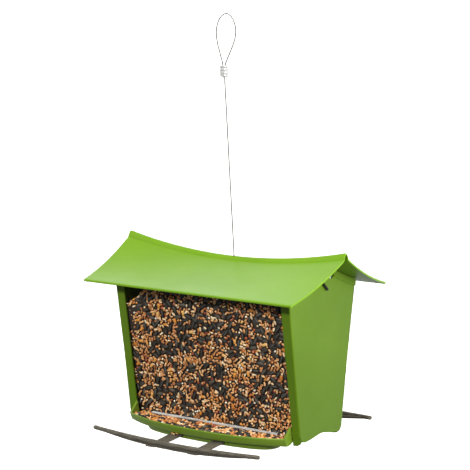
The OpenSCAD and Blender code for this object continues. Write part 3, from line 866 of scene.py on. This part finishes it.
def strap(x):
    """A flat strap with a rounded end, from its pocket out under the rod, narrowed a little midway."""
    centre = through([(0, out, STRAP_TOP - down) for out, down in (
        (-62.5, 1.45), (-72, 1.45), (-79, 1.6), (-96, 3.2), (-112, 4.8), (-125, 5.7), (-132, 5.6),
        (-137.5, 5.0))], 6)
    n = len(centre)
    points = []
    sides = 28
    for k, c in enumerate(centre):
        t = k / (n - 1)
        half_w = STRAP_WIDTH / 2 * (1 - 0.07 * math.sin(math.pi * min(1, max(0, (t - 0.25) / 0.6))))
        half_t = 1.42
        half_w -= 3.4 * max(0.0, (t - 0.82) / 0.18) ** 1.5
        if t > 0.93:
            round_off = math.sqrt(max(0.04, 1 - ((t - 0.93) / 0.075) ** 2))
            half_t *= round_off
            half_w -= 1.5 * (1 - round_off)
        for q in range(sides):
            a = 2 * math.pi * q / sides
            u = math.copysign(abs(math.cos(a)) ** 0.28, math.cos(a)) * half_w
            v = math.copysign(abs(math.sin(a)) ** 0.5, math.sin(a)) * half_t
            points.append((x + u, c[1], c[2] + v))
    return points, tube_faces(n, sides)


def perches():
    twigs = joined(perch_tubes() + [perch_web(-1), perch_web(1)])
    straps = joined([strap(-STRAP_X), strap(STRAP_X)])
    for name, turned in (("front", list), ("rear", mirrored)):
        for part, label in ((twigs, "_twig"), (straps, "_straps")):
            piece = new_object(name + label, turned(part), PERCH, name + "_perch")
            soften(piece, 0, smooth=55)


# ---- rod and screws ----


def hanger_rod():
    """The rod across the hopper, bent over outside both end walls, with chamfered ends."""
    reach, bend, tail, turn = HOPPER_HALF + 0.4, 1.8, 10.5, math.radians(46)
    half = [(x, 0, ROD_Z) for x in np.linspace(0, reach, 12)]
    down = np.array([0, math.sin(turn), -math.cos(turn)])
    for a in np.linspace(0, math.pi / 2, 9)[1:]:
        half.append(np.array([reach + bend * math.sin(a), 0, ROD_Z]) + down * bend * (1 - math.cos(a)))
    tip = np.array([reach + bend, 0, ROD_Z]) + down * bend
    for t in (0.2, 0.4, 0.6, 0.8, 0.95, 1.0):
        half.append(tip + down * tail * t)
    half = np.array(half)
    path = np.vstack([half[:0:-1] * (-1, 1, 1), half])
    last = len(path) - 1

    def radius_at(k, angles):
        return np.full(len(angles), ROD_D / 2 * (0.8 if k in (0, last) else 1.0))

    piece = new_object("rod_bent", tube(path, radius_at, 28), ROD_STEEL, "hanger_rod")
    soften(piece, 0)


def screw(x, y):
    """A pan-head screw that comes up through the base, with a thread."""
    head, shank, sides = 3.3, 1.55, 32
    profile = [(0.0, -1.4), (1.6, -1.38), (2.5, -1.2), (3.05, -0.8), (head, -0.2), (head, 0.0),
               (1.7, 0.0)]
    first, turns, pitch = 0.5, 9, 1.25
    for z in first + pitch * np.arange(turns):
        profile += [(shank * 0.78, z), (shank * 0.98, z + pitch * 0.42), (shank * 0.98, z + pitch * 0.52),
                    (shank * 0.78, z + pitch * 0.94)]
    end = first + pitch * turns
    profile += [(0.35, end + 0.8), (0.0, end + 1.0)]
    points = [(x + r * math.cos(2 * math.pi * q / sides), y + r * math.sin(2 * math.pi * q / sides),
               FLOOR_BOTTOM + h) for r, h in profile for q in range(sides)]
    return points, loop_faces(len(profile), sides, closed_cols=True)


def base_screws():
    """The four screws, each with a cross recess in its head."""
    places = [(x, y) for x in (-SCREW_X, SCREW_X) for y in (-SCREW_Y, SCREW_Y)]
    piece = new_object("screws", joined([screw(x, y) for x, y in places]), SCREW_STEEL,
                       "base_screws")
    for x, y in places:
        for w, d in ((1.7, 0.35), (0.35, 1.7)):
            outline = [(x - w, y - d), (x + w, y - d), (x + w, y + d), (x - w, y + d)]
            cut_away(piece, prism(outline, "z", FLOOR_BOTTOM - 2.0, FLOOR_BOTTOM - 0.55))
    soften(piece, 0, smooth=35)


# ---- seed ----


def seed_body(sides, rings, profile, flat=1.0, crease=0.0):
    """One seed about the origin, from -1 to 1 along X, with (points, faces, uvs for each corner)."""
    at = np.linspace(0, 1, rings + 2)[1:-1]
    angles = np.arange(sides) * 2 * math.pi / sides
    points = [(-1, 0, 0)]
    for t in at:
        x = -math.cos(math.pi * t)
        r = profile(t)
        for a in angles:
            dent = 1 - crease * max(0.0, math.sin(a)) ** 8
            points.append((x, r * math.cos(a), flat * r * math.sin(a) * dent))
    points.append((1, 0, 0))
    last = len(points) - 1
    faces, uvs = [], []
    for i in range(sides):
        j = (i + 1) % sides
        faces.append((0, 1 + j, 1 + i))
        uvs.append(((i + 0.5) / sides, 0, (i + 1) / sides, 0.1, i / sides, 0.1))
        for k in range(rings - 1):
            a, b = 1 + k * sides, 1 + (k + 1) * sides
            faces.append((a + i, a + j, b + j, b + i))
            low, high = (k + 1) / (rings + 1), (k + 2) / (rings + 1)
            uvs.append((i / sides, low, (i + 1) / sides, low, (i + 1) / sides, high, i / sides, high))
        a = 1 + (rings - 1) * sides
        faces.append((a + i, a + j, last))
        uvs.append((i / sides, 0.9, (i + 1) / sides, 0.9, (i + 0.5) / sides, 1))
    return np.array(points), faces, np.concatenate([np.array(u) for u in uvs]).reshape(-1, 2)


def rounded(t):
    return math.sin(math.pi * t) ** 0.9


def pointed(t):
    return (math.sin(math.pi * t) ** 0.95) * (1.12 - 0.42 * t)


def chunk(t):
    return min(1.0, 1.9 * math.sin(math.pi * t) ** 0.6) * (0.85 + 0.15 * math.cos(9 * t))


def stick(t):
    return 1.0 if 0.04 < t < 0.96 else 0.4


def seed_kind(name, body, size, share, spread, stops, **skin):
    """A kind of seed: its body, half sizes in mm along, across and through it, share of the seed,
    spread of its size and colours.
    """
    return dict(body=body, size=size, share=share, spread=spread, skin=seed_material(name, stops, **skin))


SEEDS = {
    "sunflower": seed_kind("sunflower_seed", seed_body(9, 6, pointed), (5.0, 2.6, 1.8), 0.24, 0.12, [
        (0.0, (0.012, 0.011, 0.010)), (0.5, (0.024, 0.022, 0.019)), (0.8, (0.045, 0.040, 0.034)),
        (1.0, (0.09, 0.075, 0.06))], roughness=0.5, stripes=(4, (0.12, 0.11, 0.09)), gloss=0.3),
    "maize": seed_kind("maize_seed", seed_body(6, 4, chunk, 0.8), (3.0, 2.4, 1.8), 0.035, 0.25, [
        (0.0, (0.50, 0.14, 0.015)), (0.5, (0.76, 0.29, 0.035)), (1.0, (0.90, 0.52, 0.16))],
        roughness=0.4),
    "wheat": seed_kind("wheat_seed", seed_body(8, 5, rounded, 0.9, 0.25), (2.8, 1.3, 1.15), 0.19, 0.18, [
        (0.0, (0.40, 0.13, 0.04)), (0.45, (0.76, 0.34, 0.12)), (0.8, (0.95, 0.56, 0.26)),
        (1.0, (0.98, 0.82, 0.56))], roughness=0.30),
    "milo": seed_kind("milo_seed", seed_body(8, 5, rounded, 0.9), (1.9, 1.8, 1.6), 0.09, 0.12, [
        (0.0, (0.30, 0.05, 0.02)), (0.6, (0.52, 0.13, 0.05)), (1.0, (0.72, 0.30, 0.12))],
        roughness=0.3),
    "millet": seed_kind("millet_seed", seed_body(7, 4, rounded, 0.9), (1.5, 1.35, 1.2), 0.50, 0.16, [
        (0.0, (0.56, 0.16, 0.035)), (0.35, (0.86, 0.36, 0.10)), (0.7, (0.97, 0.56, 0.24)),
        (0.88, (0.98, 0.78, 0.50)), (1.0, (0.98, 0.94, 0.86))],
        roughness=0.2, speckle=0.12, gloss=1.0),
    "straw": seed_kind("straw_bit", seed_body(5, 5, stick, 0.8), (6.0, 0.5, 0.4), 0.012, 0.4, [
        (0.0, (0.60, 0.44, 0.24)), (1.0, (0.90, 0.78, 0.56))], roughness=0.6),
}


def patches(rng, width, height, cell):
    """Slow random patches over an area, from 0 to 1, as a function of place."""
    nx, ny = int(width / cell) + 3, int(height / cell) + 3
    grid = rng.random((nx, ny))

    def at(u, v):
        a, b = u / cell, v / cell
        i, j = a.astype(int), b.astype(int)
        f, g = a - i, b - j
        f, g = f * f * (3 - 2 * f), g * g * (3 - 2 * g)
        return ((1 - f) * (1 - g) * grid[i, j] + f * (1 - g) * grid[i + 1, j]
                + (1 - f) * g * grid[i, j + 1] + f * g * grid[i + 1, j + 1])
    return at


def pack_layer(rng, width, height, inside, shares, full, gaps=None):
    """Drops seeds flat on an area until it is covered. Returns {kind: rows of u, v, turn, size} and
    a raster of what is covered. Where gaps is such a raster, only its holes are filled.
    """
    step = 0.5
    raster = np.zeros((int(width / step) + 1, int(height / step) + 1), bool)
    patch = patches(rng, width, height, 15.0)
    placed = {}
    for kind, share in shares.items():
        facts = SEEDS[kind]
        a, b, _ = facts["size"]
        wanted = int(full * share * width * height / (math.pi * a * b))
        tries = wanted * (6 if kind in ("millet", "wheat") else 4)
        u, v = rng.random(tries) * width, rng.random(tries) * height
        if kind == "sunflower":
            # painted shade: more of the dark sunflower seed towards the top and towards +X, where the
            # shade under the eave falls
            drift = 0.30 * (v / height) ** 4 + 0.08 * u / width
            keep = patch(u, v) + drift > 0.36 + 0.30 * rng.random(tries)
        elif kind == "millet":
            keep = patch(u, v) < 1.05 - 0.25 * rng.random(tries)
        else:
            keep = np.ones(tries, bool)
        keep &= inside(u, v)
        turns = rng.random(tries) * math.pi
        sizes = 1 + facts["spread"] * (2 * rng.random(tries) - 1)
        reach = max(1, round(0.85 * math.sqrt(a * b) / step))
        rows = []
        for uu, vv, turn, size in zip(u[keep], v[keep], turns[keep], sizes[keep]):
            i, j = int(uu / step), int(vv / step)
            if gaps is not None and gaps[i, j]:
                continue
            if a > 1.6 * b:
                along = np.linspace(-0.72, 0.72, 7) * a * size
                ii = ((uu + along * math.cos(turn)) / step).astype(int).clip(0, raster.shape[0] - 1)
                jj = ((vv + along * math.sin(turn)) / step).astype(int).clip(0, raster.shape[1] - 1)
                if raster[ii, jj].any():
                    continue
                wide = max(1, round(0.8 * b / step))
                for p, q in zip(ii, jj):
                    raster[max(0, p - wide):p + wide + 1, max(0, q - wide):q + wide + 1] = True
            else:
                box = raster[max(0, i - reach):i + reach + 1, max(0, j - reach):j + reach + 1]
                if box.any():
                    continue
                box[:] = True
            rows.append((uu, vv, turn, size))
            if len(rows) >= wanted:
                break
        placed[kind] = np.array(rows).reshape(-1, 4)
    return placed, raster


def rotations(normal, turn, tilt):
    """Matrices that lay seeds flat on a surface, turned about its normal and tilted a little."""
    n = unit(normal)
    helper = np.where(np.abs(n[:, :1]) > 0.9, [[0.0, 1.0, 0.0]], [[1.0, 0.0, 0.0]])
    e1 = unit(helper - (helper * n).sum(1)[:, None] * n)
    e2 = np.cross(n, e1)
    flat = np.cos(turn)[:, None] * e1 + np.sin(turn)[:, None] * e2
    along = unit(flat + tilt[:, None] * n)
    across = unit(np.cross(n, along))
    return np.stack([along, across, np.cross(along, across)], axis=2)


class SeedPile:
    """Collects seeds by kind and makes one piece of each kind."""

    def __init__(self, name, node):
        self.name, self.node, self.rows = name, node, {kind: [] for kind in SEEDS}

    def add(self, kind, rows, points, normal, tilt):
        """Adds seeds at points, with their turn and size from rows as pack_layer gives them."""
        if len(rows):
            normals = np.broadcast_to(np.asarray(normal, float), points.shape)
            self.rows[kind].append((points, rotations(normals, rows[:, 2], tilt), rows[:, 3]))

    def make(self):
        for kind, rows in self.rows.items():
            if not rows:
                continue
            facts = SEEDS[kind]
            points, faces, uvs = facts["body"]
            at = np.vstack([r[0] for r in rows])
            turn = np.concatenate([r[1] for r in rows])
            size = np.concatenate([r[2] for r in rows])
            shape = points * np.array(facts["size"])
            cloud = np.einsum("nij,vj->nvi", turn, shape) * size[:, None, None] + at[:, None, :]
            mesh = seed_mesh(self.name + "_" + kind, cloud, faces, uvs)
            new_object(self.name + "_" + kind, mesh, facts["skin"], self.node)


def seed_mesh(name, cloud, faces, uvs):
    """A mesh of many copies of one seed, filled in bulk."""
    count, size = cloud.shape[:2]
    lengths = np.array([len(f) for f in faces])
    corners = np.concatenate([np.array(f) for f in faces])
    loops = (corners[None, :] + size * np.arange(count)[:, None]).ravel().astype(np.int32)
    starts = np.concatenate([[0], np.cumsum(np.tile(lengths, count))[:-1]]).astype(np.int32)
    mesh = bpy.data.meshes.new(name)
    mesh.vertices.add(count * size)
    mesh.vertices.foreach_set("co", place(cloud.reshape(-1, 3)).astype(np.float32).ravel())
    mesh.loops.add(len(loops))
    mesh.loops.foreach_set("vertex_index", loops)
    mesh.polygons.add(len(starts))
    mesh.polygons.foreach_set("loop_start", starts)
    mesh.update(calc_edges=True)
    layer = mesh.uv_layers.new(name="UVMap")
    layer.data.foreach_set("uv", np.tile(uvs, (count, 1)).astype(np.float32).ravel())
    mesh.polygons.foreach_set("use_smooth", [True] * len(mesh.polygons))
    mesh.validate()
    return mesh


def seed_level(x):
    """Height of the seed in the hopper: level, with a slump at the left end."""
    return np.minimum(SEED_TOP, SLUMP_Z + SLUMP_SLOPE * (x + PANEL_IN))


MIX = {kind: facts["share"] for kind, facts in SEEDS.items()}


def two_layers(rng, width, height, inside, full, fill, fill_full, depth):
    """Seed over an area and, deeper by depth, smaller seeds in its gaps.

    Gives the kind, rows and depth of each lot.
    """
    first, raster = pack_layer(rng, width, height, inside, MIX, full)
    second, _ = pack_layer(rng, width, height, inside, fill, fill_full, gaps=raster)
    return [(kind, rows, down) for layer, down in ((first, 0.0), (second, depth))
            for kind, rows in layer.items()]


def window_seed(pile, rng, side):
    """The seed that rests against a window: a layer on it and smaller seeds in the gaps behind."""
    half, low = PANEL_IN - 2.0, WINDOW_BOTTOM - 2.0
    width, height = 2 * half, SEED_TOP - low

    def inside(u, v):
        return (v + low < seed_level(u - half) - 1.0) & (u > 1) & (u < width - 1) & (v > 1)

    fill = {"wheat": 0.03, "milo": 0.06}
    for kind, rows, depth in two_layers(rng, width, height, inside, 1.05, fill, 1.1, 2.4):
        x, z = rows[:, 0] - half, rows[:, 1] + low
        tilt = 0.22 * rng.standard_normal(len(rows))
        length, _, thick = SEEDS[kind]["size"]
        back = thick * rows[:, 3] + np.abs(tilt) * length * 0.5 + depth
        back += 1.1 * rng.random(len(rows)) ** 2
        near_end = np.abs(x) > PANEL_IN - 7.5
        y = side * (face_y(z) - SEED_FACE - back - np.where(near_end, 2.2, 0))
        pile.add(kind, rows, np.stack([x, y, z], axis=1), [0, side, -LEAN_IN], tilt)


def top_seed(pile, rng):
    """The seed's upper surface, which shows when the roof is lifted."""
    half, deep = PANEL_IN - 2.5, face_y(SEED_TOP) - SEED_FACE - 3.0
    width, height = 2 * half, 2 * deep
    hills = patches(rng, width, height, 34.0)
    fill = {"wheat": 0.1, "millet": 0.5}
    for kind, rows, depth in two_layers(rng, width, height, lambda u, v: u > 0, 1.0, fill, 1.0, 1.6):
        x, y = rows[:, 0] - half, rows[:, 1] - deep
        z = seed_level(x) - 3.2 + 2.6 * hills(rows[:, 0], rows[:, 1]) - depth
        slope = np.where(x < SLUMP_END, -SLUMP_SLOPE, 0.0)
        normal = np.stack([slope, np.zeros(len(x)), np.ones(len(x))], axis=1)
        tilt = 0.3 * rng.standard_normal(len(rows))
        pile.add(kind, rows, np.stack([x, y, z], axis=1), normal, tilt)


def tray_seed(pile, rng, side):
    """The seed that has run out under a window into its tray."""
    half, back = TRAY_HALF - WALL - 1.5, face_y(WINDOW_BOTTOM) - 7.0
    width, height = 2 * half, lip_y(0) - back

    def edge(x):
        return lip_y(x) - 5.2

    def inside(u, v):
        return v + back < edge(u - half)

    hills = patches(rng, width, height, 18.0)
    fill = {"wheat": 0.06, "milo": 0.1, "millet": 0.08}
    for kind, rows, depth in two_layers(rng, width, height, inside, 1.1, fill, 1.1, 1.6):
        x, y = rows[:, 0] - half, rows[:, 1] + back
        out = (y - back) / (edge(x) - back)
        level = FLOOR_TOP + 1.9 + 1.5 * out ** 2 + 0.9 * hills(rows[:, 0], rows[:, 1])
        tilt = 0.3 * rng.standard_normal(len(rows))
        pile.add(kind, rows, np.stack([x, side * y, level - depth], axis=1), [0, 0, 1], tilt)


def spilt_seed(pile, rng):
    """A few seeds that lie on the left strap of the front perch, close to its pocket."""
    for kind, x, y in (("wheat", -35, -80), ("maize", -30, -82), ("wheat", -37, -85),
                       ("millet", -33, -86.5)):
        z = STRAP_TOP - 0.1 * (abs(y) - 78) + SEEDS[kind]["size"][2]
        row = np.array([[0.0, 0.0, rng.random() * 3, 1.0]])
        pile.add(kind, row, np.array([[x, y, z]]), [0, -0.1, 1], np.zeros(1))


def seed_core():
    """Dark blocks behind the seeds, painted shade for the heap's shaded depths, so that no gap between
    them shows through the heap.
    """
    s = Shader("seed_shadow")
    s.set(Base_Color=s.ramp(s.noise(420, 5, 0.7), [
        (0.35, (0.008, 0.005, 0.004)), (0.55, (0.030, 0.016, 0.009)), (0.75, (0.09, 0.05, 0.025))]),
        Normal=s.bump(s.noise(380, 4), 0.001, 1.0), Roughness=0.8)
    back = SEED_FACE + 4.6
    low, high = WINDOW_BOTTOM - 2.5, SEED_TOP - 5.0
    outline = [(face_y(high) - back, high), (face_y(low) - back, low), (RAMP_HALF - 2.5, low),
               (0, RAMP_TOP + 0.5), (2.5 - RAMP_HALF, low), (back - face_y(low), low),
               (back - face_y(high), high)]
    half = PANEL_IN - 3.5
    points = [(x, y, min(z, float(seed_level(x)) - 5.0))
              for x in (-half, SLUMP_END, 0, half) for y, z in outline]
    new_object("hopper_core", (points, tube_faces(4, len(outline))), s.material,
               "hopper_seed")
    # the same painted shade under the seed in each tray
    for side, node in ((-1, "front_tray_seed"), (1, "rear_tray_seed")):
        xs = np.linspace(-TRAY_HALF + 3, TRAY_HALF - 3, 41)
        outer = [(x, side * (tray_y(x) - 3.2)) for x in xs]
        inner = [(x, side * (RAMP_HALF + 1)) for x in xs[::-1]]
        part = prism(outer + inner, "z", FLOOR_TOP + 0.1, FLOOR_TOP + 1.2)
        new_object(node + "_core", part, s.material, node)


def seed():
    """All the seed, from one stream of random numbers, so the order of the piles matters."""
    rng = np.random.default_rng(RANDOM_START)
    for name, node, layers in (
            ("hopper", "hopper_seed", [(window_seed, -1)]),
            ("hopper_rear", "hopper_seed", [(window_seed, 1)]),
            ("hopper_top", "hopper_seed", [(top_seed,)]),
            ("front_tray", "front_tray_seed", [(tray_seed, -1), (spilt_seed,)]),
            ("rear_tray", "rear_tray_seed", [(tray_seed, 1)])):
        pile = SeedPile(name, node)
        for layer, *side in layers:
            layer(pile, rng, *side)
        pile.make()
    seed_core()


# ---- stage ----


def floor():
    """A plain pale floor well below the feeder."""
    size, height = 40.0, -1.5
    mesh = bpy.data.meshes.new("floor")
    mesh.from_pydata([(-size, -size, height), (size, -size, height), (size, size, height),
                      (-size, size, height)], [], [(0, 1, 2, 3)])
    ground = in_scene("floor", mesh)
    s = Shader("floor")
    s.set(Base_Color=s.ramp(s.noise(3, 2), [(0.3, (0.93, 0.93, 0.93)), (0.7, (0.96, 0.96, 0.96))]),
          Roughness=0.9, Specular_IOR_Level=0.1)
    mesh.materials.append(s.material)
    ground.visible_diffuse = False
    ground.visible_glossy = False


def room():
    """A bright room, lightest at eye level behind the feeder and dimmer in front, above and below."""
    world = bpy.data.worlds.new("room")
    s = Nodes(world)
    where = s.node("TexCoord", "Generated")
    depth = s.spread(s.node("SeparateXYZ", "Y", Vector=where), -0.7, 0.35, 0.35, 1.9)
    height = s.spread(s.node("SeparateXYZ", "Z", Vector=where), -1.0, 1.0, 0.0, 1.0)
    levels = [(0.0, 0.25), (0.44, 0.30), (0.48, 1.0), (0.68, 1.0), (0.88, 0.22)]
    level = s.ramp(height, [(at, (value,) * 3) for at, value in levels])
    s.feed(s.tree.nodes["Background"], Strength=s.arithmetic("MULTIPLY", depth, level),
           Color=(1, 1, 1, 1))
    bpy.context.scene.world = world
    bpy.context.scene.view_settings.view_transform = "Standard"


def add_lamp(name, kind, energy, towards, at=(0, 0, 0)):
    """A lamp at a place in hopper millimetres that shines from a direction, unseen itself."""
    lamp = bpy.data.lights.new(name, kind)
    lamp.energy = energy
    lamp.color = (1.0, 0.985, 0.95)
    holder = in_scene(name, lamp)
    holder.location = place([at])[0]
    holder.rotation_euler = Vector(towards).to_track_quat("Z", "Y").to_euler()
    holder.visible_camera = False
    holder.visible_glossy = name == "fill"
    return lamp


def lamps():
    """A key sun overhead, a low fill sun in front, and a soft lamp at the right."""
    add_lamp("key", "SUN", 2.6, (-0.36, -0.13, 0.92)).angle = math.radians(24)
    add_lamp("fill", "SUN", 3.1, (0.12, -0.90, 0.42)).angle = math.radians(6)
    side = add_lamp("side", "AREA", 3.8, (1.0, -0.10, 0.30), (560, -60, 110))
    side.shape = "DISK"
    side.size = 0.30


roof()
end_walls()
windows()
base()
perches()
hanger_rod()
base_screws()
seed()
floor()
room()
lamps()
